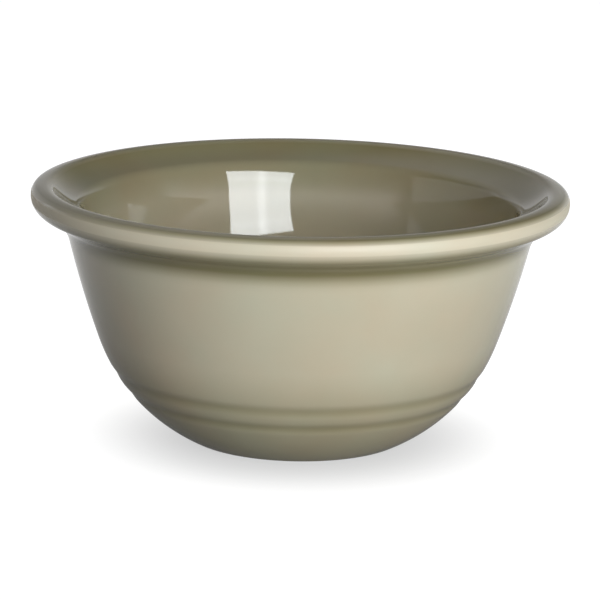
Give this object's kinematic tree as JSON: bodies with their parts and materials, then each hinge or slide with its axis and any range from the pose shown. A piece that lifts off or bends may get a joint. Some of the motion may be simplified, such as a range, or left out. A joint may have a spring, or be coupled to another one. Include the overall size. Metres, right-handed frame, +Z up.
{
  "type": "prep bowl",
  "caption": "Round glazed stoneware prep bowl with a flared, rolled rim, a rounded belly with soft turned grooves and a bare foot ring, for holding and mixing ingredients",
  "frame": {"origin": "the middle of the foot, on the surface that the bowl stands on", "axes": "+Z is up, along the bowl's axis; X and Y are free, because the bowl is round"},
  "size_m": [0.16, 0.16, 0.077],
  "materials": {
    "stoneware": "bare fired clay, matt",
    "glaze": "gloss glaze, taupe"
  },
  "bodies": {
    "root": {"stoneware_body": "stoneware", "inner_glaze": "glaze", "outer_glaze": "glaze", "base_glaze": "glaze"}
  },
  "joints": []
}
